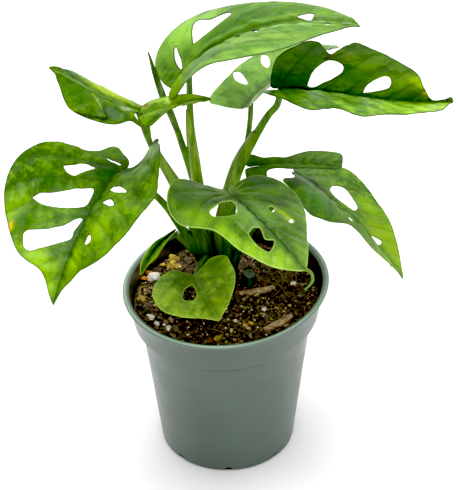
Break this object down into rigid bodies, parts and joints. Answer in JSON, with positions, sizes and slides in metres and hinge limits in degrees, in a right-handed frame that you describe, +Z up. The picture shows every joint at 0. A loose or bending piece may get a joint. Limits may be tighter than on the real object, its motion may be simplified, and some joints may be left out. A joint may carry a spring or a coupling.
{
  "type": "potted monstera adansonii",
  "caption": "Young Swiss cheese vine with hole-pierced heart-shaped leaves on long petioles, rooted in potting mix in a round tapered nursery pot with a banded rim.",
  "frame": {"origin": "centre of the pot's flat underside", "axes": "+Z up out of the pot; -Y towards the side that the front leaves reach over; +X to the right seen from that side"},
  "size_m": [0.2225, 0.1713, 0.2578],
  "materials": {
    "pot": "satin",
    "potting_mix": "matte",
    "petiole": "satin",
    "leaf_blade": "satin",
    "rolled_leaf": "satin",
    "perlite": "matte",
    "bark": "matte"
  },
  "bodies": {
    "root": {"pot": "pot", "soil": "potting_mix", "stem_left": "petiole", "stem_middle": "petiole", "stem_right": "petiole", "new_leaf": "rolled_leaf", "cut_stump": "rolled_leaf", "perlite_1": "perlite", "perlite_2": "perlite", "perlite_3": "perlite", "perlite_4": "perlite", "perlite_5": "perlite", "perlite_6": "perlite", "bark_chip_1": "bark", "bark_chip_2": "bark", "bark_chip_3": "bark", "bark_chip_4": "bark", "bark_chip_5": "bark", "bark_strip_1": "bark", "bark_strip_2": "bark", "leaf_front_left": "leaf_blade", "leaf_upper_left": "leaf_blade", "leaf_upper_small": "leaf_blade", "leaf_top": "leaf_blade", "leaf_right": "leaf_blade", "leaf_rear": "leaf_blade", "leaf_lower_right": "leaf_blade", "leaf_inner_right": "leaf_blade", "leaf_front": "leaf_blade", "leaf_low_heart": "leaf_blade", "leaf_rim_left": "leaf_blade"}
  },
  "joints": []
}
